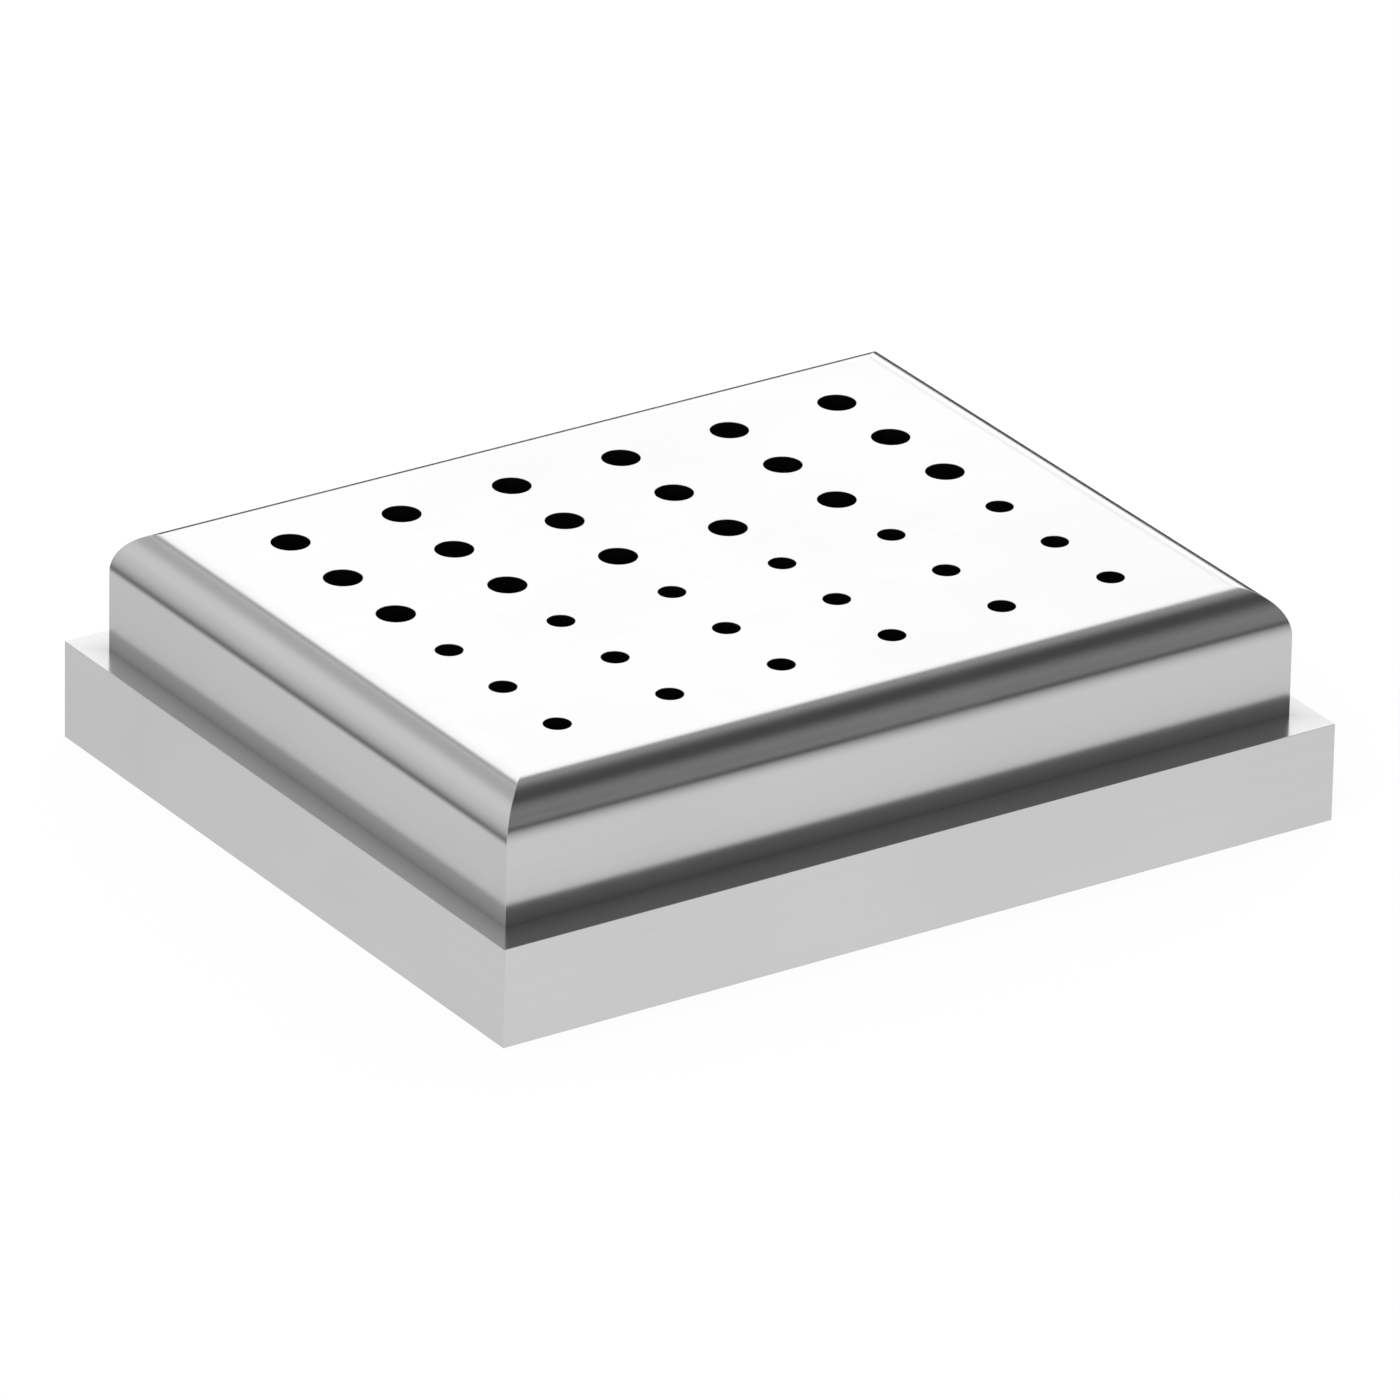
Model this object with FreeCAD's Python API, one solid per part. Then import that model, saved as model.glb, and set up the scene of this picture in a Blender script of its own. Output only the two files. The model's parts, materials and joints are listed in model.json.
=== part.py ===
import FreeCAD, Part
import os
from math import cos, pi, radians, sin

from FreeCAD import Vector

# Holder box for dental burs, in millimetres. +Z is up, the origin is the centre of the underside,
# X runs along the long side and the plain front face of the plinth looks along -Y.
# A plinth frame stands on the table. A bottom plate closes it from below and carries a mat, four
# pillars and a guide plate. A folded hood with the bur holes lifts off the plinth's shelf.

# Plinth frame
PLINTH_LENGTH = 60.0
PLINTH_WIDTH = 50.0
PLINTH_HEIGHT = 6.5
EDGE_BREAK = 0.1
SHELF_AT_ENDS = 1.65
SHELF_AT_SIDES = 2.5

# Upstand that the hood drops over, and the well inside it
UPSTAND_HEIGHT = 2.2
UPSTAND_WALL = 1.3
UPSTAND_LEAD_IN = 0.3
WELL_CORNER_RADIUS = 4.0

# Hood, folded from sheet with mitred corners
HOOD_HEIGHT = 8.25
HOOD_SHEET = 1.0
HOOD_BEND_RADIUS = 3.0
HOOD_SIDE_CLEARANCE = 0.1
HOOD_REST_CLEARANCE = 0.05

# Bur holes, small ones in the front rows and large ones in the back rows. As many columns and
# rows are drilled as the hood takes with this least distance from its sides to a hole's centre.
COLUMN_PITCH = 8.0
ROW_PITCH = 6.0
LEAST_HOLE_MARGIN = 7.2
SMALL_BORE = 1.75
LARGE_BORE = 2.45

# Bottom plate, let into a rebate under the plinth frame
BOTTOM_THICKNESS = 1.5
BOTTOM_LEDGE = 2.5
BOTTOM_EDGE_CLEARANCE = 0.15
BOTTOM_CORNER_RADIUS = 1.5
BOTTOM_RECESS = 0.2

# Mat that the burs stand on
MAT_THICKNESS = 1.0
MAT_CLEARANCE = 0.3

# Guide plate over the mat, on four pillars
GUIDE_THICKNESS = 0.8
GUIDE_WELL_CLEARANCE = 0.25
GUIDE_BORE_EXTRA = 0.1
PILLAR_RADIUS = 2.0
PILLAR_HEIGHT = 5.3
PILLAR_WALL_DISTANCE = 0.9

# Screws: countersunk from below, low cylindrical heads above
SCREW_RADIUS = 0.95
SCREW_HOLE_CLEARANCE = 0.05
COUNTERSUNK_HEAD_RADIUS = 1.75
LOW_HEAD_RADIUS = 1.75
LOW_HEAD_HEIGHT = 1.1
SOCKET_ACROSS_FLATS = 1.25
SOCKET_DEPTH = 0.6
SCREW_ENGAGEMENT = 2.2
PLATE_SCREW_ENGAGEMENT = 2.4
PLATE_SCREW_INSET = 2.35
TAPPED_HOLE_SPARE_DEPTH = 0.5

# Derived sizes
HOOD_LENGTH = PLINTH_LENGTH - 2 * SHELF_AT_ENDS
HOOD_WIDTH = PLINTH_WIDTH - 2 * SHELF_AT_SIDES
HOOD_BOTTOM = PLINTH_HEIGHT + HOOD_REST_CLEARANCE
HOOD_TOP = PLINTH_HEIGHT + HOOD_HEIGHT
COLUMNS = int((HOOD_LENGTH - 2 * LEAST_HOLE_MARGIN) / COLUMN_PITCH) + 1
ROWS = int((HOOD_WIDTH - 2 * LEAST_HOLE_MARGIN) / ROW_PITCH) + 1
SMALL_ROWS = ROWS // 2
HOOD_TO_UPSTAND = HOOD_SHEET + HOOD_SIDE_CLEARANCE
UPSTAND_LENGTH = HOOD_LENGTH - 2 * HOOD_TO_UPSTAND
UPSTAND_WIDTH = HOOD_WIDTH - 2 * HOOD_TO_UPSTAND
UPSTAND_TOP = PLINTH_HEIGHT + UPSTAND_HEIGHT
WELL_LENGTH = UPSTAND_LENGTH - 2 * UPSTAND_WALL
WELL_WIDTH = UPSTAND_WIDTH - 2 * UPSTAND_WALL
BOTTOM_TOP = BOTTOM_RECESS + BOTTOM_THICKNESS
BOTTOM_LENGTH = WELL_LENGTH + 2 * BOTTOM_LEDGE
BOTTOM_WIDTH = WELL_WIDTH + 2 * BOTTOM_LEDGE
PILLAR_X = WELL_LENGTH / 2 - PILLAR_WALL_DISTANCE - PILLAR_RADIUS
PILLAR_Y = WELL_WIDTH / 2 - PILLAR_WALL_DISTANCE - PILLAR_RADIUS
PILLAR_TOP = BOTTOM_TOP + PILLAR_HEIGHT
GUIDE_TOP = PILLAR_TOP + GUIDE_THICKNESS
PLATE_SCREW_X = BOTTOM_LENGTH / 2 - PLATE_SCREW_INSET
PLATE_SCREW_Y = BOTTOM_WIDTH / 2 - PLATE_SCREW_INSET
SCREW_HOLE_RADIUS = SCREW_RADIUS + SCREW_HOLE_CLEARANCE
COUNTERSINK_DEPTH = COUNTERSUNK_HEAD_RADIUS - SCREW_RADIUS


def rounded_slab(length, width, bottom, top, corner):
    """A flat plate with upright round corners, centred on Z."""
    half_x, half_y = length / 2, width / 2
    centre_x, centre_y = half_x - corner, half_y - corner
    edges = []
    for quarter, (sx, sy) in enumerate(((1, 1), (-1, 1), (-1, -1), (1, -1))):
        centre = Vector(sx * centre_x, sy * centre_y, bottom)
        circle = Part.Circle(centre, Vector(0, 0, 1), corner)
        edges.append(Part.Arc(circle, quarter * pi / 2, (quarter + 1) * pi / 2).toShape())
    ends = [(arc.valueAt(arc.FirstParameter), arc.valueAt(arc.LastParameter)) for arc in edges]
    sides = [Part.LineSegment(ends[i][1], ends[(i + 1) % 4][0]).toShape() for i in range(4)]
    outline = Part.Wire([edge for pair in zip(edges, sides) for edge in pair])
    return Part.Face(outline).extrude(Vector(0, 0, top - bottom))


def block(length, width, bottom, top):
    """A sharp-cornered box centred on Z."""
    corner = Vector(-length / 2, -width / 2, bottom)
    return Part.makeBox(length, width, top - bottom, corner)


def upright_cylinder(x, y, bottom, top, radius):
    """A round bar parallel to Z between two heights."""
    return Part.makeCylinder(radius, top - bottom, Vector(x, y, bottom))


def round_cutters(places, bottom, top, radius):
    """One drill of the same size for each place."""
    return [upright_cylinder(x, y, bottom, top, radius) for x, y in places]


def corners(x, y):
    """The four mirrored places of a pattern, counted anticlockwise from the front left."""
    return [(-x, -y), (x, -y), (x, y), (-x, y)]


def bent_sheet_prism(half_width, depth, bottom, top, bend):
    """A bar along Y whose section in XZ has its two upper corners rounded by the bend."""
    left, right, shoulder = -half_width, half_width, top - bend
    rise = bend * sin(radians(45))
    run = bend * (1 - cos(radians(45)))

    def point(x, z):
        return Vector(x, -depth / 2, z)

    def line(start, end):
        return Part.LineSegment(point(*start), point(*end)).toShape()

    def arc(start, middle, end):
        return Part.Arc(point(*start), point(*middle), point(*end)).toShape()

    outline = Part.Wire([
        line((left, bottom), (left, shoulder)),
        arc((left, shoulder), (left + run, shoulder + rise), (left + bend, top)),
        line((left + bend, top), (right - bend, top)),
        arc((right - bend, top), (right - run, shoulder + rise), (right, shoulder)),
        line((right, shoulder), (right, bottom)),
        line((right, bottom), (left, bottom)),
    ])
    return Part.Face(outline).extrude(Vector(0, depth, 0))


def mitred_shell_body(length, width, bottom, top, bend):
    """All four top edges rounded and meeting in mitres, with the upright edges left sharp."""
    across = bent_sheet_prism(length / 2, width, bottom, top, bend)
    along = bent_sheet_prism(width / 2, length, bottom, top, bend)
    along.rotate(Vector(0, 0, 0), Vector(0, 0, 1), 90)
    return across.common(along)


def bur_holes():
    """Each bur hole's centre and diameter, row by row from the front."""
    for row in range(ROWS):
        bore = SMALL_BORE if row < SMALL_ROWS else LARGE_BORE
        for column in range(COLUMNS):
            x = (column - (COLUMNS - 1) / 2) * COLUMN_PITCH
            y = (row - (ROWS - 1) / 2) * ROW_PITCH
            yield x, y, bore


def bur_hole_cutters(bottom, top, extra):
    """Drills for all bur holes, each wider than its bore by the extra."""
    return [upright_cylinder(x, y, bottom, top, (bore + extra) / 2) for x, y, bore in bur_holes()]


def hood():
    """Perforated cover folded from sheet, open below."""
    outside = mitred_shell_body(HOOD_LENGTH, HOOD_WIDTH, HOOD_BOTTOM, HOOD_TOP, HOOD_BEND_RADIUS)
    inside = mitred_shell_body(
        HOOD_LENGTH - 2 * HOOD_SHEET,
        HOOD_WIDTH - 2 * HOOD_SHEET,
        HOOD_BOTTOM - HOOD_SHEET,
        HOOD_TOP - HOOD_SHEET,
        max(HOOD_BEND_RADIUS - HOOD_SHEET, EDGE_BREAK),
    )
    return outside.cut([inside] + bur_hole_cutters(HOOD_BOTTOM, HOOD_TOP + HOOD_SHEET, 0))


def plinth():
    """Frame with the shelf, the upstand round the well and the rebate for the bottom plate."""
    base = block(PLINTH_LENGTH, PLINTH_WIDTH, 0, PLINTH_HEIGHT)
    base = base.makeChamfer(EDGE_BREAK, base.Edges)
    upstand = block(UPSTAND_LENGTH, UPSTAND_WIDTH, PLINTH_HEIGHT - EDGE_BREAK, UPSTAND_TOP)
    rim = [edge for edge in upstand.Edges if edge.BoundBox.ZMin > UPSTAND_TOP - EDGE_BREAK]
    upstand = upstand.makeChamfer(UPSTAND_LEAD_IN, rim)
    well = rounded_slab(WELL_LENGTH, WELL_WIDTH, 0, UPSTAND_TOP, WELL_CORNER_RADIUS)
    rebate = rounded_slab(
        BOTTOM_LENGTH + 2 * BOTTOM_EDGE_CLEARANCE,
        BOTTOM_WIDTH + 2 * BOTTOM_EDGE_CLEARANCE,
        0,
        BOTTOM_TOP,
        BOTTOM_CORNER_RADIUS + BOTTOM_EDGE_CLEARANCE,
    )
    tap_top = BOTTOM_TOP + PLATE_SCREW_ENGAGEMENT + TAPPED_HOLE_SPARE_DEPTH
    taps = round_cutters(corners(PLATE_SCREW_X, PLATE_SCREW_Y), 0, tap_top, SCREW_HOLE_RADIUS)
    return base.fuse(upstand).removeSplitter().cut([well, rebate] + taps)


def countersink(x, y):
    """Cutter for a screw hole through the bottom plate, with its cone at the underside."""
    mouth = COUNTERSUNK_HEAD_RADIUS + SCREW_HOLE_CLEARANCE
    cone = Part.makeCone(mouth, SCREW_HOLE_RADIUS, COUNTERSINK_DEPTH, Vector(x, y, BOTTOM_RECESS))
    return cone.fuse(upright_cylinder(x, y, BOTTOM_RECESS, BOTTOM_TOP, SCREW_HOLE_RADIUS))


def bottom_plate():
    """Closing plate with countersunk holes for the frame's screws and the pillars' screws."""
    plate = rounded_slab(BOTTOM_LENGTH, BOTTOM_WIDTH, BOTTOM_RECESS, BOTTOM_TOP, BOTTOM_CORNER_RADIUS)
    places = corners(PLATE_SCREW_X, PLATE_SCREW_Y) + corners(PILLAR_X, PILLAR_Y)
    return plate.cut([countersink(x, y) for x, y in places])


def floor_mat():
    """Soft pad on the bottom plate, notched at each corner for the pillar there."""
    top = BOTTOM_TOP + MAT_THICKNESS
    mat = rounded_slab(
        WELL_LENGTH - 2 * MAT_CLEARANCE,
        WELL_WIDTH - 2 * MAT_CLEARANCE,
        BOTTOM_TOP,
        top,
        WELL_CORNER_RADIUS - MAT_CLEARANCE,
    )
    radius = PILLAR_RADIUS + MAT_CLEARANCE
    side = 4 * radius
    notch = rounded_slab(side, side, BOTTOM_TOP, top, radius)
    offset = side / 2 - radius
    places = corners(PILLAR_X + offset, PILLAR_Y + offset)
    return mat.cut([placed(notch, x, y, 0) for x, y in places])


def pillar(x, y):
    """Round spacer, threaded right through."""
    post = upright_cylinder(x, y, BOTTOM_TOP, PILLAR_TOP, PILLAR_RADIUS)
    return post.cut(upright_cylinder(x, y, BOTTOM_TOP, PILLAR_TOP, SCREW_HOLE_RADIUS))


def guide_plate():
    """Inner plate whose holes lie under the hood's and keep the burs upright."""
    plate = rounded_slab(
        WELL_LENGTH - 2 * GUIDE_WELL_CLEARANCE,
        WELL_WIDTH - 2 * GUIDE_WELL_CLEARANCE,
        PILLAR_TOP,
        GUIDE_TOP,
        WELL_CORNER_RADIUS - GUIDE_WELL_CLEARANCE,
    )
    cutters = bur_hole_cutters(PILLAR_TOP, GUIDE_TOP, GUIDE_BORE_EXTRA)
    cutters += round_cutters(corners(PILLAR_X, PILLAR_Y), PILLAR_TOP, GUIDE_TOP, SCREW_HOLE_RADIUS)
    return plate.cut(cutters)


def hexagon_socket(bottom, top):
    """Cutter for a socket, centred on Z."""
    corner_radius = SOCKET_ACROSS_FLATS / 2 / cos(pi / 6)
    points = [
        Vector(corner_radius * cos(i * pi / 3), corner_radius * sin(i * pi / 3), bottom) for i in range(7)
    ]
    return Part.Face(Part.makePolygon(points)).extrude(Vector(0, 0, top - bottom))


def turned(points):
    """A turned solid from its half section, given as (radius, height) points from axis to axis."""
    outline = Part.makePolygon([Vector(radius, 0, height) for radius, height in points + points[:1]])
    return Part.Face(outline).revolve(Vector(0, 0, 0), Vector(0, 0, 1), 360)


def countersunk_screw(engagement):
    """Screw with a flat countersunk head, standing head down on z = 0."""
    tip = BOTTOM_THICKNESS + engagement
    body = turned([
        (0, 0),
        (COUNTERSUNK_HEAD_RADIUS, 0),
        (SCREW_RADIUS, COUNTERSINK_DEPTH),
        (SCREW_RADIUS, tip),
        (0, tip),
    ])
    return body.cut(hexagon_socket(0, SOCKET_DEPTH))


def low_head_screw(engagement):
    """Screw whose cylindrical head rests on z = 0 and whose shank hangs below."""
    tip = -(GUIDE_THICKNESS + engagement)
    body = turned([
        (0, LOW_HEAD_HEIGHT),
        (0, tip),
        (SCREW_RADIUS, tip),
        (SCREW_RADIUS, 0),
        (LOW_HEAD_RADIUS, 0),
        (LOW_HEAD_RADIUS, LOW_HEAD_HEIGHT),
    ])
    return body.cut(hexagon_socket(LOW_HEAD_HEIGHT - SOCKET_DEPTH, LOW_HEAD_HEIGHT))


def placed(shape, x, y, z):
    """A copy of the shape moved from the origin to its place."""
    return shape.translated(Vector(x, y, z))


def export(name, shape):
    """Write one checked solid to its own file."""
    solids = shape.Solids
    if len(solids) != 1 or not solids[0].isValid():
        raise ValueError(f"{name} is not one valid solid")
    solids[0].exportStep(f"parts/{name}.step")
    print(f"{name}: {solids[0].Volume:.2f} mm3")


def main():
    """Build every piece and write it to its own file."""
    os.makedirs("parts", exist_ok=True)
    export("plinth", plinth())
    export("bottom_plate", bottom_plate())
    export("floor_mat", floor_mat())
    export("guide_plate", guide_plate())
    export("hood", hood())
    for number, (x, y) in enumerate(corners(PILLAR_X, PILLAR_Y), 1):
        export(f"pillar_{number}", pillar(x, y))
        export(f"pillar_screw_{number}", placed(countersunk_screw(SCREW_ENGAGEMENT), x, y, BOTTOM_RECESS))
        export(f"guide_screw_{number}", placed(low_head_screw(SCREW_ENGAGEMENT), x, y, GUIDE_TOP))
    for number, (x, y) in enumerate(corners(PLATE_SCREW_X, PLATE_SCREW_Y), 1):
        screw = countersunk_screw(PLATE_SCREW_ENGAGEMENT)
        export(f"plate_screw_{number}", placed(screw, x, y, BOTTOM_RECESS))


main()
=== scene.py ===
"""A steel holder box for dental burs, dressed for its portrait.

The box is a plinth frame with a mirror-like shelf, a folded and perforated hood that lifts off it, and
inside them a base plate, a soft mat, four posts and a guide sheet. +Z is up, X runs along the long side
and the front face looks along -Y. The pieces are drawn in millimetres and finished in metres, which all
else is in.
"""

from __future__ import annotations

import json
import logging
import math
from dataclasses import dataclass, field, replace
from enum import Enum
from typing import Any, Callable, Iterable, Sequence

import bmesh
import bpy
from mathutils import Matrix, Vector

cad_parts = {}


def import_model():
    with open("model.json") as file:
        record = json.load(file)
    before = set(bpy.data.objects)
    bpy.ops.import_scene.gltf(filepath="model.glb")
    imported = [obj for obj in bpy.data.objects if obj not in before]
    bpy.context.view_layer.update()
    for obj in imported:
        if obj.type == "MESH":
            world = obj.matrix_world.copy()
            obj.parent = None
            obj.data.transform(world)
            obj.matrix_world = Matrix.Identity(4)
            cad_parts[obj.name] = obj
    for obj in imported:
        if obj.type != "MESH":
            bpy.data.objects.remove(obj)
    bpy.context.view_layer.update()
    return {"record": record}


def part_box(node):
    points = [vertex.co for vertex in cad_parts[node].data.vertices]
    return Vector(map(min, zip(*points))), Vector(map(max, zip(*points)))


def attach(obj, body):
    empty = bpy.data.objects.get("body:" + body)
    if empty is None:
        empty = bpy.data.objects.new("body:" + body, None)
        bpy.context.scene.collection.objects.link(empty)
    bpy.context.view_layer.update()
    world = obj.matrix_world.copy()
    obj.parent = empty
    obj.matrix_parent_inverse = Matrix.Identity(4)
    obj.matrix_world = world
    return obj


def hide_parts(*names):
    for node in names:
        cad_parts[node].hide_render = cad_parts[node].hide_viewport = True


log = logging.getLogger("bur_holder_box")

MILLIMETRE = 0.001
# Two places count as one within this many millimetres, and points are merged within a tenth of it.
TOUCH = 0.002
MERGE = TOUCH / 10
# The least upright part of a level face's normal.
LEVEL = 0.999
# The numbers of the box's four corners, which its posts and screws go by.
CORNERS = range(1, 5)

Colour = tuple[float, float, float]
Socket = bpy.types.NodeSocket
Settings = dict[str, Any] | None
Inputs = dict[Any, Any] | None


# Shader building


class Value:
    """A number in a shader graph, on which Python's arithmetic adds Math nodes."""

    def __init__(self, graph: Graph, socket: Socket) -> None:
        """Wrap an output socket of a graph."""
        self.graph = graph
        self.socket = socket

    def _with(self, operation: str, *numbers: Value | float) -> Value:
        """Add one Math node, whose inputs take the numbers in order."""
        return self.graph.value("ShaderNodeMath", {"operation": operation}, dict(enumerate(numbers)))

    def __add__(self, other: Value | float) -> Value:
        """Sum, in either order."""
        return self._with("ADD", self, other)

    __radd__ = __add__

    def __sub__(self, other: Value | float) -> Value:
        """Difference."""
        return self._with("SUBTRACT", self, other)

    def __rsub__(self, other: float) -> Value:
        """Difference, with the number first."""
        return self._with("SUBTRACT", other, self)

    def __mul__(self, other: Value | float) -> Value:
        """Product, in either order."""
        return self._with("MULTIPLY", self, other)

    __rmul__ = __mul__

    def __truediv__(self, other: Value | float) -> Value:
        """Quotient."""
        return self._with("DIVIDE", self, other)

    def __abs__(self) -> Value:
        """Size without its sign."""
        return self._with("ABSOLUTE", self)

    def __rpow__(self, other: float) -> Value:
        """A number raised to this power."""
        return self._with("POWER", other, self)

    def at_least(self, other: Value | float) -> Value:
        """The larger of this and another number."""
        return self._with("MAXIMUM", self, other)

    def arcsine(self) -> Value:
        """Angle in radians whose sine this is."""
        return self._with("ARCSINE", self)

    def heading_with(self, forward: Value) -> Value:
        """Angle in radians of this sideways part beside a forward part."""
        return self._with("ARCTAN2", self, forward)

    def stepped(self, start: float, end: float) -> Value:
        """A soft step that rises from 0 to 1 between two values.

        Args:
            start: where the step begins.
            end: where it is complete.

        Returns:
            The step's height.
        """
        return self.graph.value(
            "ShaderNodeMapRange",
            {"interpolation_type": "SMOOTHSTEP"},
            {"Value": self, "From Min": start, "From Max": end, "To Min": 0.0, "To Max": 1.0},
        )


class Graph:
    """A material's or the world's node tree, built node by node."""

    def __init__(self, tree: bpy.types.NodeTree) -> None:
        """Empty the tree that is to be filled."""
        self.tree = tree
        tree.nodes.clear()

    def node(self, kind: str, settings: Settings = None, inputs: Inputs = None) -> bpy.types.Node:
        """Add a node of any kind.

        Args:
            kind: Blender's name for the node type.
            settings: the node's own properties, and a ramp's stops under "stops".
            inputs: numbers, colours, vectors, sockets or Values by input name or number.

        Returns:
            The new node.
        """
        made = self.tree.nodes.new(kind)
        for name, setting in (settings or {}).items():
            if name == "stops":
                self._set_stops(made, setting)
            else:
                setattr(made, name, setting)
        for name, given in (inputs or {}).items():
            source = given.socket if isinstance(given, Value) else given
            if isinstance(source, Socket):
                self.tree.links.new(source, made.inputs[name])
            else:
                made.inputs[name].default_value = source
        return made

    @staticmethod
    def _set_stops(ramp: bpy.types.Node, stops: Sequence[tuple[float, float]]) -> None:
        """Give a colour ramp grey stops.

        Args:
            ramp: the ramp node.
            stops: pairs of position and grey, in rising order.
        """
        elements = ramp.color_ramp.elements
        while len(elements) < len(stops):
            elements.new(1.0)
        for element, (position, grey) in zip(elements, stops):
            element.position = position
            element.color = (grey, grey, grey, 1.0)

    def value(
        self, kind: str, settings: Settings = None, inputs: Inputs = None, output: int | str = 0
    ) -> Value:
        """Add a node and wrap the output of this name or number."""
        return Value(self, self.node(kind, settings, inputs).outputs[output])

    def parts(self, vector: Socket) -> list[Value]:
        """Take a vector apart into its three numbers."""
        split = self.node("ShaderNodeSeparateXYZ", None, {0: vector})
        return [Value(self, output) for output in split.outputs]

    def blended(self, share: Value | float, first: Value | float, second: Value | float) -> Value:
        """Mix two numbers: the share, from 0 to 1, is the second one's."""
        return self.value("ShaderNodeMix", {"data_type": "FLOAT"}, {0: share, 2: first, 3: second})

    def tinted(
        self, share: Value | float, first: Colour | Socket, second: Colour | Socket, way: str = "MIX"
    ) -> Socket:
        """Mix two colours.

        Args:
            share: how much of the second goes in, from 0 to 1.
            first: the first colour, or its socket.
            second: the second colour, or its socket.
            way: the Mix node's way of blending.

        Returns:
            The mixed colour's socket.
        """
        inputs: dict[int, Any] = {0: share}
        for number, given in ((6, first), (7, second)):
            inputs[number] = given if isinstance(given, Socket) else (*given, 1.0)
        return self.node("ShaderNodeMix", {"data_type": "RGBA", "blend_type": way}, inputs).outputs[2]

    def noise(self, place: Socket, per_metre: Sequence[float], detail: float = 2.0) -> Value:
        """Noise that may be drawn out along an axis.

        Args:
            place: the coordinates to read.
            per_metre: how many grains there are in a metre along each axis.
            detail: how many finer layers are added.

        Returns:
            The noise, about 0.5 on average.
        """
        spread = self.node("ShaderNodeMapping", None, {"Vector": place, "Scale": tuple(per_metre)})
        return self.value(
            "ShaderNodeTexNoise", None, {"Vector": spread.outputs[0], "Scale": 1.0, "Detail": detail}, "Fac"
        )

    def relief(self, height: Value, depth: float) -> Socket:
        """Turn a height from 0 to 1 into a normal, for a relief of this depth in metres."""
        made = self.node("ShaderNodeBump", None, {"Strength": 1.0, "Distance": depth, "Height": height})
        return made.outputs[0]


def new_material(name: str) -> tuple[bpy.types.Material, Graph]:
    """Start a material.

    Args:
        name: its name.

    Returns:
        The material and its empty graph.
    """
    made = bpy.data.materials.new(name)
    made.use_nodes = True
    return made, Graph(made.node_tree)


# Finishes


BLACK: Colour = (0.0, 0.0, 0.0)
WHITE: Colour = (1.0, 1.0, 1.0)
NOISE_MEAN = 0.5
# Between which values of the noise each thing sets in.
MARK_ONSET = (0.45, 0.75)
CLOUD_ONSET = (0.3, 0.7)
DUST_ONSET = (0.5, 0.8)
# How far a face has to look along X to count as an end face, whose grain runs along Y.
END_FACE_ONSET = (0.6, 0.8)


class Grain(Enum):
    """How the fine lines of a steel surface run."""

    SHEET = "along each face's longer direction"
    TURNED = "round an upright axis"
    CLOUDED = "without direction"


@dataclass(frozen=True)
class JointPaintedShade:
    """Painted shade where the hood stands on the shelf: the colour darkens at the joint and less so with the
    distance.
    """

    half_length: float = 28.35 * MILLIMETRE
    half_width: float = 22.5 * MILLIMETRE
    height: float = 6.5 * MILLIMETRE
    depth: float = 0.05 * MILLIMETRE
    halving: float = 0.9 * MILLIMETRE
    share: float = 0.30

    def amount(self, graph: Graph, point: Socket) -> Value:
        """Measure the painted shade at a point.

        Args:
            graph: the material's graph.
            point: object coordinates.

        Returns:
            The share by which the painted shade darkens the colour.
        """
        x, y, z = graph.parts(point)
        outwards = (abs(x) - self.half_length).at_least(abs(y) - self.half_width)
        distance = outwards.at_least(abs(z - self.height))
        above = z.stepped(self.height - self.depth, self.height)
        return self.share * above * 0.5 ** (distance / self.halving)


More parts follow.
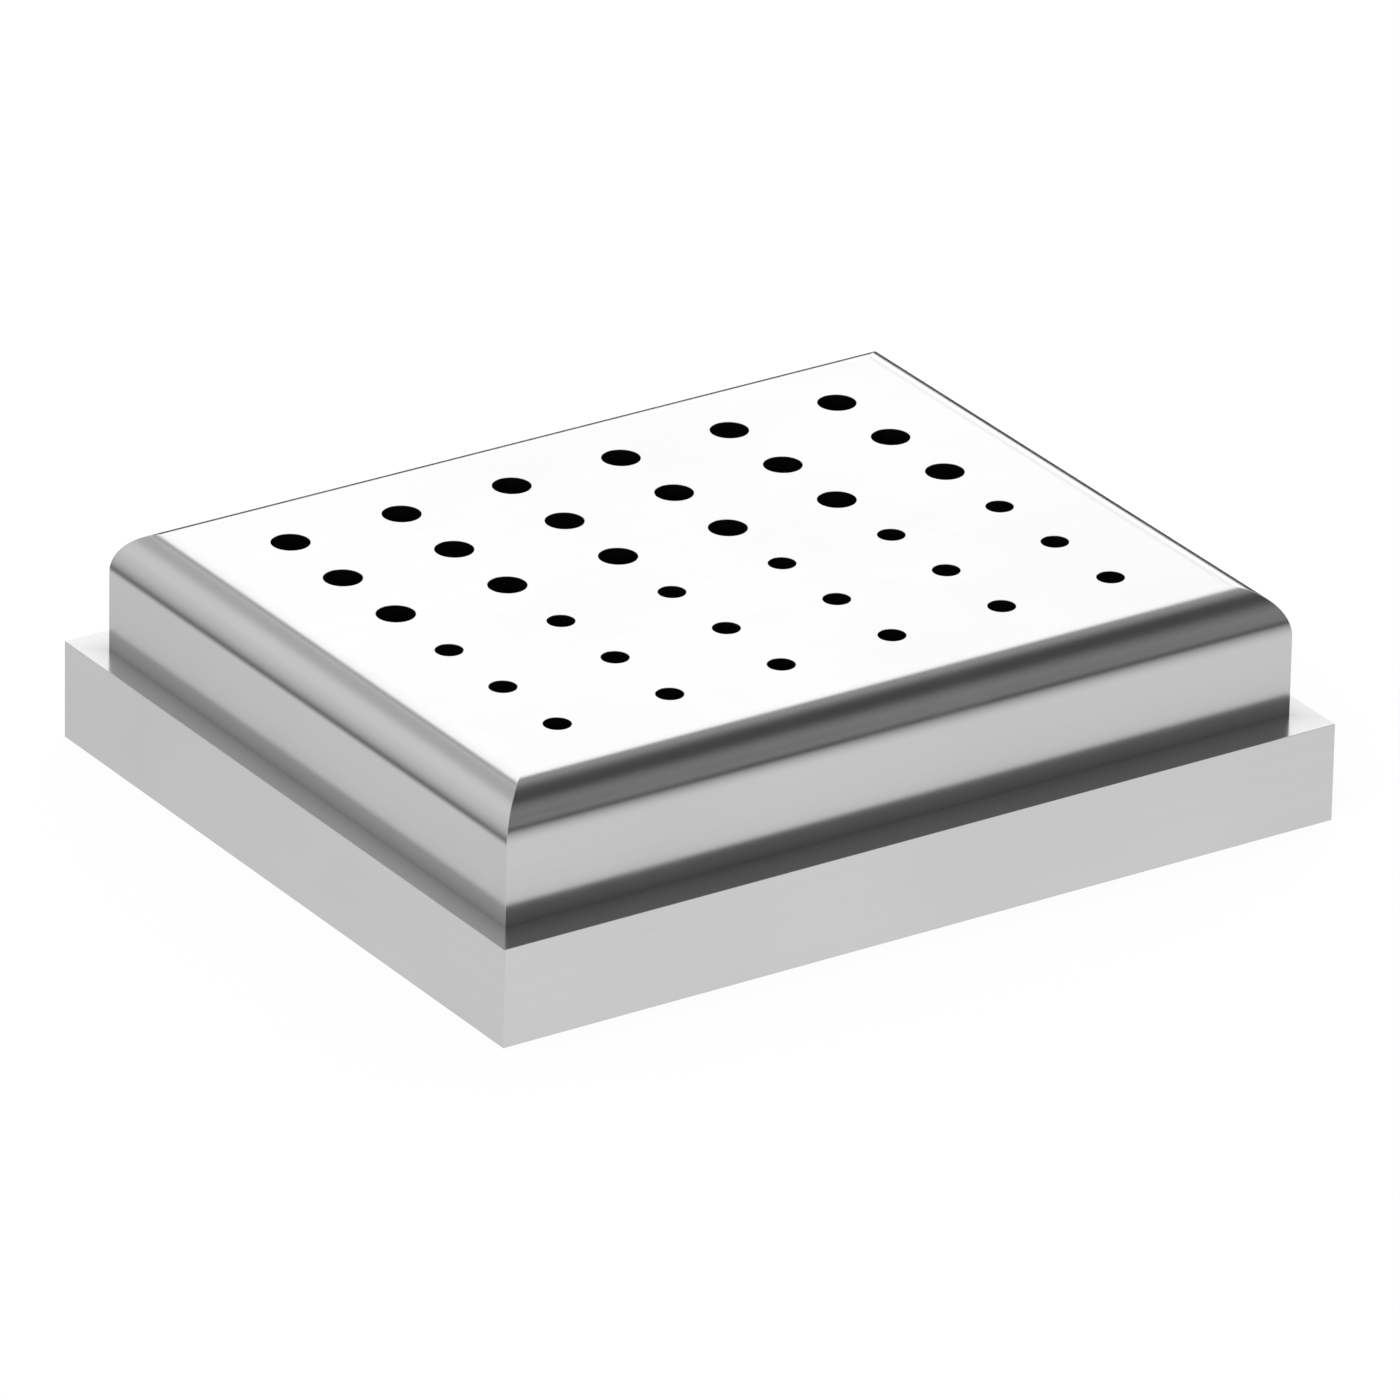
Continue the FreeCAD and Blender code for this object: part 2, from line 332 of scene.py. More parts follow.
@dataclass(frozen=True)
class SteelFinish:
    """Bare stainless steel, from mirror-like to dull."""

    name: str
    reflectance: Colour
    roughness: float
    grain: Grain = Grain.SHEET
    grain_height: float = 0.00012 * MILLIMETRE
    lines_per_millimetre: float = 14.0
    smudge: float = 0.03
    stain: float = 0.03
    streak: float = 0.012
    # painted shade: darkens the colour near where the hood stands on the shelf
    joint_shade: JointPaintedShade | None = None
    lines_in_streak: float = 7.0
    lines_in_cloud: float = 6.0
    line_length: float = 40.0
    marks_per_metre: float = 140.0
    clouds_per_metre: float = 45.0

    def material(self) -> bpy.types.Material:
        """Make the steel: fine grain, faint handling marks and a slightly uneven sheen.

        Returns:
            The new material.
        """
        made, graph = new_material(self.name)
        place = graph.node("ShaderNodeTexCoord")
        point, facing = place.outputs["Object"], place.outputs["Normal"]
        lines = self._lines(graph, point, facing, self.lines_per_millimetre)
        streaks = self._lines(graph, point, facing, self.lines_per_millimetre / self.lines_in_streak)
        marks = graph.noise(point, [self.marks_per_metre] * 3, detail=4.0).stepped(*MARK_ONSET)
        cloud = graph.noise(point, [self.clouds_per_metre] * 3)
        roughness = self.roughness + self.smudge * marks + self.smudge * (cloud - NOISE_MEAN)
        surface = graph.node(
            "ShaderNodeBsdfPrincipled",
            None,
            {
                "Base Color": self._colour(graph, point, cloud, streaks),
                "Metallic": 1.0,
                "Roughness": roughness + self.streak * (streaks - NOISE_MEAN),
                "Normal": graph.relief(lines, self.grain_height),
            },
        )
        graph.node("ShaderNodeOutputMaterial", None, {"Surface": surface.outputs[0]})
        return made

    def _colour(self, graph: Graph, point: Socket, cloud: Value, streaks: Value) -> Socket:
        """Stain and brush the bare metal, and darken it with painted shade at the hood's joint.

        Args:
            graph: the material's graph.
            point: object coordinates.
            cloud: where the metal is stained.
            streaks: where the brushing is coarser.

        Returns:
            The colour's socket.
        """
        stained = tuple(part * (1.0 - self.stain) for part in self.reflectance)
        colour = graph.tinted(cloud.stepped(*CLOUD_ONSET), self.reflectance, stained)
        brushed = graph.tinted(streaks.stepped(*CLOUD_ONSET), (1.0 - self.streak,) * 3, WHITE)
        colour = graph.tinted(1.0, colour, brushed, "MULTIPLY")
        # painted shade at the hood's joint with the shelf
        if self.joint_shade is not None:
            colour = graph.tinted(1.0 - self.joint_shade.amount(graph, point), BLACK, colour)
        return colour

    def _lines(self, graph: Graph, point: Socket, facing: Socket, per_millimetre: float) -> Value:
        """Draw the grain.

        Args:
            graph: the material's graph.
            point: object coordinates.
            facing: the surface normal in object space.
            per_millimetre: how many lines there are in a millimetre across the grain.

        Returns:
            The grain's height, from 0 to 1.
        """
        fine = per_millimetre / MILLIMETRE
        drawn = fine / self.line_length
        if self.grain is Grain.TURNED:
            return graph.noise(point, (drawn, drawn, fine))
        if self.grain is Grain.CLOUDED:
            return graph.noise(point, (fine / self.lines_in_cloud,) * 3)
        along_x = graph.noise(point, (drawn, fine, fine))
        along_y = graph.noise(point, (fine, drawn, fine))
        sideways, _, _ = graph.parts(facing)
        return graph.blended(abs(sideways).stepped(*END_FACE_ONSET), along_x, along_y)


@dataclass(frozen=True)
class SiliconeFinish:
    """Matt moulded silicone with a dusty bloom."""

    name: str
    colour: Colour
    bloom: Colour
    roughness: float = 0.72
    dust_roughness: float = 0.12
    pore_height: float = 0.012 * MILLIMETRE
    pores_per_metre: float = 5500.0
    dust_per_metre: float = 210.0

    def material(self) -> bpy.types.Material:
        """Make the silicone.

        Returns:
            The new material.
        """
        made, graph = new_material(self.name)
        point = graph.node("ShaderNodeTexCoord").outputs["Object"]
        pores = graph.noise(point, [self.pores_per_metre] * 3, detail=3.0)
        dust = graph.noise(point, [self.dust_per_metre] * 3, detail=5.0).stepped(*DUST_ONSET)
        surface = graph.node(
            "ShaderNodeBsdfPrincipled",
            None,
            {
                "Base Color": graph.tinted(dust, self.colour, self.bloom),
                "Roughness": self.roughness + self.dust_roughness * dust,
                "Normal": graph.relief(pores, self.pore_height),
            },
        )
        graph.node("ShaderNodeOutputMaterial", None, {"Surface": surface.outputs[0]})
        return made


@dataclass(frozen=True)
class TableFinish:
    """The plain pale ground: a lit surface that takes only a faint shadow and is clear from below."""

    name: str
    glow: float
    share_of_shadow: float
    paper: Colour = (0.84, 0.84, 0.84)
    mottled_paper: Colour = (0.80, 0.80, 0.80)
    mottles_per_metre: float = 6.0

    def material(self) -> bpy.types.Material:
        """Make the ground.

        Returns:
            The new material.
        """
        made, graph = new_material(self.name)
        point = graph.node("ShaderNodeTexCoord").outputs["Object"]
        mottle = graph.noise(point, [self.mottles_per_metre] * 3)
        paper = graph.tinted(mottle, self.paper, self.mottled_paper)
        matt = graph.node("ShaderNodeBsdfDiffuse", None, {"Color": paper})
        lit = graph.node("ShaderNodeEmission", None, {"Color": (*WHITE, 1.0), "Strength": self.glow})
        upper = graph.node(
            "ShaderNodeMixShader", None, {0: self.share_of_shadow, 1: lit.outputs[0], 2: matt.outputs[0]}
        )
        clear = graph.node("ShaderNodeBsdfTransparent")
        under = graph.value("ShaderNodeNewGeometry", None, None, "Backfacing")
        both = graph.node("ShaderNodeMixShader", None, {0: under, 1: upper.outputs[0], 2: clear.outputs[0]})
        graph.node("ShaderNodeOutputMaterial", None, {"Surface": both.outputs[0]})
        return made


Finish = SteelFinish | SiliconeFinish


@dataclass
class FinishBook:
    """All finishes of the box, each made once."""

    # hood, plinth and shelf all take the painted shade at the hood's joint
    hood: SteelFinish = SteelFinish("satin_hood_steel", (0.615, 0.615, 0.615), 0.17, joint_shade=JointPaintedShade())
    # painted light: the plinth's copy of the hood steel is a little brighter, for the nearer floor that it
    # mirrors
    plinth: SteelFinish = SteelFinish("satin_plinth_steel", (0.637, 0.637, 0.637), 0.17, joint_shade=JointPaintedShade())
    # painted shade: the shelf's copy of the plinth steel is darker
    shelf: SteelFinish = SteelFinish("satin_shelf_steel", (0.590, 0.590, 0.590), 0.17, joint_shade=JointPaintedShade())
    # painted shade: near-black bore walls stand in for the shade inside the bur holes
    bore: SteelFinish = SteelFinish("dark_bore_steel", (0.050, 0.050, 0.052), 0.34, Grain.CLOUDED)
    # dull inner steel whose colour is darkened as painted shade inside the hood; its roughness is the real
    # finish
    inside: SteelFinish = SteelFinish(
        "dull_inner_steel", (0.300, 0.298, 0.295), 0.42, grain_height=0.0006 * MILLIMETRE,
        lines_per_millimetre=9.0, smudge=0.06, stain=0.10, streak=0.12,
    )
    plate: SteelFinish = SteelFinish(
        "brushed_plate_steel", (0.580, 0.580, 0.585), 0.30, grain_height=0.0008 * MILLIMETRE,
        lines_per_millimetre=9.0, smudge=0.05, stain=0.06, streak=0.16,
    )
    post: SteelFinish = SteelFinish(
        "turned_post_steel", (0.580, 0.580, 0.585), 0.24, Grain.TURNED, grain_height=0.0008 * MILLIMETRE,
        lines_per_millimetre=8.0, smudge=0.04, stain=0.05, streak=0.10,
    )
    screw: SteelFinish = SteelFinish(
        "bright_screw_steel", (0.550, 0.550, 0.560), 0.20, Grain.TURNED, grain_height=0.0005 * MILLIMETRE,
        lines_per_millimetre=10.0, smudge=0.04, stain=0.08, streak=0.08,
    )
    mat: SiliconeFinish = SiliconeFinish("grey_silicone", (0.040, 0.043, 0.047), (0.075, 0.077, 0.080))
    made: dict[str, bpy.types.Material] = field(default_factory=dict)

    def material(self, finish: Finish) -> bpy.types.Material:
        """Look a finish's material up, or make it.

        Args:
            finish: the finish.

        Returns:
            Its one material.
        """
        if finish.name not in self.made:
            self.made[finish.name] = finish.material()
        return self.made[finish.name]


# Workpieces


Vert = bmesh.types.BMVert
Edge = bmesh.types.BMEdge
Edges = list[Edge]
Outline = tuple[Edges, Edges]
Section = list[tuple[float, float]]

# How many facets a rounding has that is seen close up, and one that only takes an edge's sharpness away.
EDGE_STEPS = 3
FAINT_EDGE_STEPS = 2
# How many facets an upright round corner and a full turn have.
CORNER_STEPS = 8
TURN_STEPS = 40
# The angle in degrees from which an edge stays crisp.
CREASE = 20.0
# The weight that lets a large face settle the shading of the narrow ones beside it.
FULL_WEIGHT = 100


@dataclass(frozen=True)
class Drilling:
    """A round hole, seen from above, in millimetres."""

    x: float
    y: float
    radius: float

    def wider(self, play: float) -> Drilling:
        """The same hole with a radius that is larger by some play."""
        return replace(self, radius=self.radius + play)


class Workpiece:
    """One piece being made under the mesh tools, drawn in millimetres."""

    def __init__(self) -> None:
        """Start with nothing."""
        self.mesh = bmesh.new()

    def since(self, before: set[Vert]) -> list[Vert]:
        """List the points that a step has added."""
        return [vert for vert in self.mesh.verts if vert not in before]

    @staticmethod
    def _edges_of(verts: Iterable[Vert], wanted: Callable[[Edge], bool]) -> Edges:
        """Pick the edges at some points that pass a test, each once."""
        once = dict.fromkeys(edge for vert in verts for edge in vert.link_edges)
        return [edge for edge in once if wanted(edge)]

    def block(self, low: Vector, high: Vector) -> list[Vert]:
        """Add a plain box between two corners, the blank of the shapes below."""
        place = Matrix.LocRotScale((low + high) / 2, None, high - low)
        return bmesh.ops.create_cube(self.mesh, size=1.0, matrix=place)["verts"]

    def walls(self, low: Vector, high: Vector, corner: float = 0.0) -> Outline:
        """Add upright walls round a rectangle, open above and below.

        Args:
            low: the lowest corner of the space that they enclose.
            high: its highest corner.
            corner: the radius of the upright corners.

        Returns:
            The lower and the upper rim's edges.
        """
        before = set(self.mesh.verts)
        upright = self._edges_of(self.block(low, high), _is_upright)
        if corner > 0:
            self.round_off(upright, corner, CORNER_STEPS)
        new = self.since(before)
        self.open_ends(new)
        return self.level_edges(new, low.z), self.level_edges(new, high.z)

    def open_ends(self, verts: Iterable[Vert]) -> None:
        """Take the level faces away.

        Args:
            verts: the points at whose faces to look.
        """
        self.mesh.normal_update()
        level = dict.fromkeys(face for vert in verts for face in vert.link_faces if _is_level(face))
        bmesh.ops.delete(self.mesh, geom=list(level), context="FACES_ONLY")

    def level_edges(self, verts: Iterable[Vert], height: float) -> Edges:
        """Pick the edges that lie level at a height."""
        return self._edges_of(verts, lambda edge: all(abs(vert.co.z - height) < TOUCH for vert in edge.verts))

    def ring(self, drilling: Drilling, height: float, steps: int) -> Edges:
        """Add a level circle.

        Args:
            drilling: where it lies, and its radius.
            height: its height.
            steps: how many edges it has.

        Returns:
            Its edges.
        """
        place = Matrix.Translation((drilling.x, drilling.y, height))
        made = bmesh.ops.create_circle(
            self.mesh, cap_ends=False, radius=drilling.radius, segments=steps, matrix=place
        )
        return self._edges_of(made["verts"], lambda edge: True)

    def fill(self, *outlines: Edges) -> None:
        """Close a level face, leaving open what its inner outlines enclose.

        Args:
            outlines: the face's outer outline, then those of its openings.
        """
        edges = [edge for outline in outlines for edge in outline]
        bmesh.ops.triangle_fill(
            self.mesh, use_beauty=True, use_dissolve=False, edges=edges, normal=Vector((0.0, 0.0, 1.0))
        )

    def join(self, first: Edges, second: Edges) -> list[bmesh.types.BMFace]:
        """Stretch a wall between two rims and return its faces."""
        return bmesh.ops.bridge_loops(self.mesh, edges=first + second)["faces"]

    def round_off(self, edges: Edges, radius: float, steps: int = EDGE_STEPS) -> None:
        """Round edges.

        Args:
            edges: the edges to round.
            radius: how far the rounding reaches from each edge.
            steps: how many facets it has.
        """
        bmesh.ops.recalc_face_normals(self.mesh, faces=self.mesh.faces)
        bmesh.ops.bevel(
            self.mesh,
            geom=edges,
            offset=radius,
            offset_type="OFFSET",
            segments=steps,
            profile=0.5,
            affect="EDGES",
            clamp_overlap=True,
            material=-1,
        )

    def turn(self, section: Section, centre: Vector) -> None:
        """Turn a section round an upright axis.

        Args:
            section: pairs of radius and height.
            centre: a point on the axis.
        """
        points = [self.mesh.verts.new((centre.x + radius, centre.y, height)) for radius, height in section]
        edges = [self.mesh.edges.new(pair) for pair in zip(points, points[1:])]
        bmesh.ops.spin(
            self.mesh,
            geom=points + edges,
            cent=(centre.x, centre.y, 0.0),
            axis=(0.0, 0.0, 1.0),
            angle=math.tau,
            steps=TURN_STEPS,
            use_merge=True,
        )

    def finished(self, name: str) -> bpy.types.Object:
        """Close the work and put the piece on show.

        Args:
            name: the piece's name.

        Returns:
            The piece, at the origin with its place in its mesh.
        """
        bmesh.ops.remove_doubles(self.mesh, verts=self.mesh.verts, dist=MERGE)
        bmesh.ops.recalc_face_normals(self.mesh, faces=self.mesh.faces)
        bmesh.ops.scale(self.mesh, verts=self.mesh.verts, vec=Vector((MILLIMETRE,) * 3))
        for face in self.mesh.faces:
            face.smooth = True
        for edge in self.mesh.edges:
            edge.smooth = edge.calc_face_angle(0.0) < math.radians(CREASE)
        mesh = bpy.data.meshes.new(name)
        self.mesh.to_mesh(mesh)
        self.mesh.free()
        made = place_in_scene(name, mesh)
        even = made.modifiers.new("even_flats", "WEIGHTED_NORMAL")
        even.mode = "FACE_AREA"
        even.weight = FULL_WEIGHT
        even.keep_sharp = True
        return made


def place_in_scene(name: str, data: bpy.types.ID) -> bpy.types.Object:
    """Put a mesh, a light or a camera into the scene.

    Args:
        name: the object's name.
        data: what it holds.

    Returns:
        The object, at the origin.
    """
    made = bpy.data.objects.new(name, data)
    bpy.context.scene.collection.objects.link(made)
    return made


def solid_box(node: str) -> tuple[Vector, Vector]:
    """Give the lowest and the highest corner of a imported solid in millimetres."""
    low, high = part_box(node)
    return Vector(low) / MILLIMETRE, Vector(high) / MILLIMETRE


def _centre(node: str) -> Vector:
    """Give the middle of a solid's box."""
    low, high = solid_box(node)
    return (low + high) / 2


def _spans(length: float, width: float, bottom: float, top: float) -> tuple[Vector, Vector]:
    """Give the corners of a space that is centred on the box's upright axis."""
    return Vector((-length / 2, -width / 2, bottom)), Vector((length / 2, width / 2, top))


def _is_upright(edge: Edge) -> bool:
    """Tell whether an edge runs along Z."""
    run = edge.verts[0].co - edge.verts[1].co
    return abs(run.z) > TOUCH and math.hypot(run.x, run.y) < TOUCH


def _is_level(face: bmesh.types.BMFace) -> bool:
    """Tell whether a face looks straight up or down."""
    return abs(face.normal.z) > LEVEL


# Sub-assemblies


@dataclass
class Assembly:
    """What every sub-assembly shares: its finishes and how its pieces are handed over."""

    book: FinishBook

    def dress(self, piece: bpy.types.Object, node: str, body: str, slot: str, *finishes: Finish) -> None:
        """Give a piece its materials and put it in its node's place.

        Args:
            piece: the finished piece.
            node: the solid that it stands for.
            body: the moving body that carries it.
            slot: the material slot of that solid; not used.
            finishes: its finishes, in the order of its faces' numbers.
        """
        for finish in finishes:
            piece.data.materials.append(self.book.material(finish))
        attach(piece, body)
        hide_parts(node)
        log.info("%s for %s, %d faces", piece.name, node, len(piece.data.polygons))


@dataclass
class HoodCover(Assembly):
    """The folded cover with the bur holes."""

    drillings: Sequence[Drilling] = ()
    sheet: float = 1.0
    bend_radius: float = 3.0
    bend_steps: int = 16
    bore_steps: int = 64
    edge_radius: float = 0.02
    rim_radius: float = 0.015
    rim_turns: tuple[float, ...] = (0.0, 45.0, 90.0)
    foot_radius: float = 0.012
    collar: float = 0.4
    upstand: float = 2.2

    def build(self) -> None:
        """Fold, drill and dress the hood."""
        finishes = (self.book.hood, self.book.inside, self.book.bore)
        low, high = solid_box("hood")
        low.z = solid_box("plinth")[1].z - self.upstand + TOUCH
        work = Workpiece()
        foot, brim = self._folded(work, low, high, self.bend_radius, self.edge_radius)
        mouths = [self._collared(work, drilling, high.z) for drilling in self.drillings]
        work.fill(brim, *(collar for collar, _ in mouths))
        outer = set(work.mesh.faces)
        inset = Vector((self.sheet, self.sheet, 0.0))
        ceiling = high - inset - Vector((0.0, 0.0, self.sheet))
        inner_foot, inner_brim = self._folded(work, low + inset, ceiling, self.bend_radius - self.sheet)
        ends = [work.ring(drilling, ceiling.z, self.bore_steps) for drilling in self.drillings]
        work.fill(inner_brim, *ends)
        # the hood's inner side takes the steel darkened with painted shade
        for face in set(work.mesh.faces) - outer:
            face.material_index = finishes.index(self.book.inside)
        # the bore walls take the near-black steel that is painted shade
        for (_, mouth), end in zip(mouths, ends):
            for face in work.join(mouth, end):
                face.material_index = finishes.index(self.book.bore)
        work.fill(foot, inner_foot)
        work.round_off(foot, self.foot_radius, FAINT_EDGE_STEPS)
        self.dress(work.finished("hood_cover"), "hood", "hood", "polished_steel", *finishes)

    def _folded(self, work: Workpiece, low: Vector, high: Vector, bend: float, mitre: float = 0.0) -> Outline:
        """Make one side of the folded sheet, open above and below.

        Args:
            work: the piece being made.
            low: the lowest corner of this side.
            high: its highest corner.
            bend: the radius of its bends.
            mitre: the rounding of its corners and mitres, or 0 to leave them crisp.

        Returns:
            The foot's and the brim's edges.
        """
        before = set(work.mesh.verts)
        blank = work.block(low, high)
        work.round_off(work.level_edges(blank, high.z), bend, self.bend_steps)
        work.open_ends(work.since(before))
        if mitre > 0:
            work.round_off([edge for edge in work.mesh.edges if self._on_mitre(edge, low, high)], mitre)
        new = work.since(before)
        return work.level_edges(new, low.z), work.level_edges(new, high.z)

    def _collared(self, work: Workpiece, drilling: Drilling, height: float) -> Outline:
        """Make a hole's softened rim with a flat collar round it.

        Args:
            work: the piece being made.
            drilling: the hole.
            height: the height of the sheet's upper side.

        Returns:
            The collar's outer edges and the edges where the bore begins.
        """
        rings = [work.ring(drilling.wider(self.collar), height, self.bore_steps)]
        for turned in self.rim_turns:
            out = self.rim_radius * (1.0 - math.sin(math.radians(turned)))
            down = self.rim_radius * (1.0 - math.cos(math.radians(turned)))
            rings.append(work.ring(drilling.wider(out), height - down, self.bore_steps))
        for first, second in zip(rings, rings[1:]):
            work.join(first, second)
        return rings[0], rings[-1]

    @staticmethod
    def _on_mitre(edge: Edge, low: Vector, high: Vector) -> bool:
        """Tell whether an edge lies on a mitre or on the upright corner below it.

        Args:
            edge: the edge.
            low: the hood's lowest corner.
            high: its highest corner.

        Returns:
            True where two walls or two bends meet.
        """
        for vert in edge.verts:
            inward_x = min(vert.co.x - low.x, high.x - vert.co.x)
            inward_y = min(vert.co.y - low.y, high.y - vert.co.y)
            if abs(inward_x - inward_y) > TOUCH:
                return False
        return abs(edge.verts[0].co.z - edge.verts[1].co.z) > TOUCH


@dataclass
class PlinthFrame(Assembly):
    """The solid frame with its shelf, its upstand, its well and the rebate below."""

    upstand: tuple[float, float, float] = (54.5, 42.8, 6.5)
    upstand_wall: float = 1.3
    well_corner: float = 4.0
    rebate_gap: float = 0.15
    rebate_corner: float = 1.65
    rebate_roof: float = 1.7
    edge_radius: float = 0.03
    lead_in: float = 0.3

    def build(self) -> None:
        """Mill and dress the frame."""
        low, high = solid_box("plinth")
        plate_low, plate_high = solid_box("bottom_plate")
        length, width, shelf = self.upstand
        work = Workpiece()
        foot, brim = work.walls(low, Vector((high.x, high.y, shelf)))
        step, crest = work.walls(*_spans(length, width, shelf, high.z))
        sill, mouth = work.walls(
            *_spans(length - 2 * self.upstand_wall, width - 2 * self.upstand_wall, self.rebate_roof, high.z),
            corner=self.well_corner,
        )
        gap = Vector((self.rebate_gap, self.rebate_gap, 0.0))
        rebate_low = Vector((plate_low.x, plate_low.y, low.z)) - gap
        rebate_high = Vector((plate_high.x, plate_high.y, self.rebate_roof)) + gap
        lip, roof = work.walls(rebate_low, rebate_high, corner=self.rebate_corner)
        work.fill(brim, step)
        work.fill(crest, mouth)
        work.fill(sill, roof)
        work.fill(foot, lip)
        upright = [edge for edge in work.mesh.edges if _is_upright(edge)]
        outside = [edge for edge in upright if abs(edge.verts[0].co.x) > high.x - TOUCH]
        work.round_off(foot + brim + outside, self.edge_radius)
        work.round_off([edge for edge in crest if edge.is_valid], self.lead_in)
        work.mesh.normal_update()
        # the shelf's level faces take the darker copy of the steel, which is painted shade
        finishes = (self.book.plinth, self.book.shelf)
        for face in work.mesh.faces:
            if _is_level(face) and abs(face.calc_center_median().z - shelf) < TOUCH:
                face.material_index = finishes.index(self.book.shelf)
        self.dress(work.finished("plinth_frame"), "plinth", "box", "polished_steel", *finishes)


@dataclass
class InnerPlates(Assembly):
    """The base plate, the mat on it and the guide sheet over them."""

    drillings: Sequence[Drilling] = ()
    guide_play: float = 0.05
    guide_corner: float = 3.75
    base_corner: float = 1.5
    screw_hole: float = 1.0
    sink_mouth: float = 1.8
    sink_depth: float = 0.8
    hole_steps: int = 48
    edge_radius: float = 0.08
    mat_edge: float = 0.22
    mat_edge_steps: int = 4
    sharp: float = 60.0

    def build(self) -> None:
        """Make and dress the three plates."""
        self._base()
        self._mat()
        self._guide()

    def _base(self) -> None:
        """Make the countersunk plate under the frame."""
        low, high = solid_box("bottom_plate")
        work = Workpiece()
        under, over = work.walls(low, high, corner=self.base_corner)
        mouths, throats = [], []
        for name in [f"{kind}_screw_{number}" for kind in ("plate", "pillar") for number in CORNERS]:
            centre = _centre(name)
            hole = Drilling(centre.x, centre.y, self.screw_hole)
            sink = Drilling(centre.x, centre.y, self.sink_mouth)
            mouths.append(work.ring(sink, low.z, self.hole_steps))
            middle = work.ring(hole, low.z + self.sink_depth, self.hole_steps)
            throats.append(work.ring(hole, high.z, self.hole_steps))
            work.join(mouths[-1], middle)
            work.join(middle, throats[-1])
        work.fill(under, *mouths)
        work.fill(over, *throats)
        work.round_off(under + over, self.edge_radius, FAINT_EDGE_STEPS)
        plate = work.finished("base_plate")
        self.dress(plate, "bottom_plate", "box", "brushed_steel", self.book.plate)

    def _guide(self) -> None:
        """Make the drilled sheet that keeps the burs upright."""
        low, high = solid_box("guide_plate")
        work = Workpiece()
        under, over = work.walls(low, high, corner=self.guide_corner)
        bores = [hole.wider(self.guide_play) for hole in self.drillings]
        posts = [_centre(f"pillar_{number}") for number in CORNERS]
        bores += [Drilling(centre.x, centre.y, self.screw_hole) for centre in posts]
        below = [work.ring(bore, low.z, self.hole_steps) for bore in bores]
        above = [work.ring(bore, high.z, self.hole_steps) for bore in bores]
        for lower, upper in zip(below, above):
            work.join(lower, upper)
        work.fill(under, *below)
        work.fill(over, *above)
        work.round_off(under + over, self.edge_radius, FAINT_EDGE_STEPS)
        sheet = work.finished("guide_sheet")
        self.dress(sheet, "guide_plate", "box", "brushed_steel", self.book.plate)

    def _mat(self) -> None:
        """Soften the mat's upper edge, starting from the notched slab."""
        work = Workpiece()
        work.mesh.from_mesh(bpy.data.objects["floor_mat"].data)
        bmesh.ops.scale(work.mesh, verts=work.mesh.verts, vec=Vector((1.0 / MILLIMETRE,) * 3))
        bmesh.ops.remove_doubles(work.mesh, verts=work.mesh.verts, dist=MERGE)
        _, high = solid_box("floor_mat")
        work.mesh.normal_update()
        top_edges = work.level_edges(work.mesh.verts, high.z)
        rim = [edge for edge in top_edges if edge.calc_face_angle(0.0) > math.radians(self.sharp)]
        work.round_off(rim, self.mat_edge, self.mat_edge_steps)
        for face in work.mesh.faces:
            face.material_index = 0
        self.dress(work.finished("floor_pad"), "floor_mat", "box", "silicone_mat", self.book.mat)


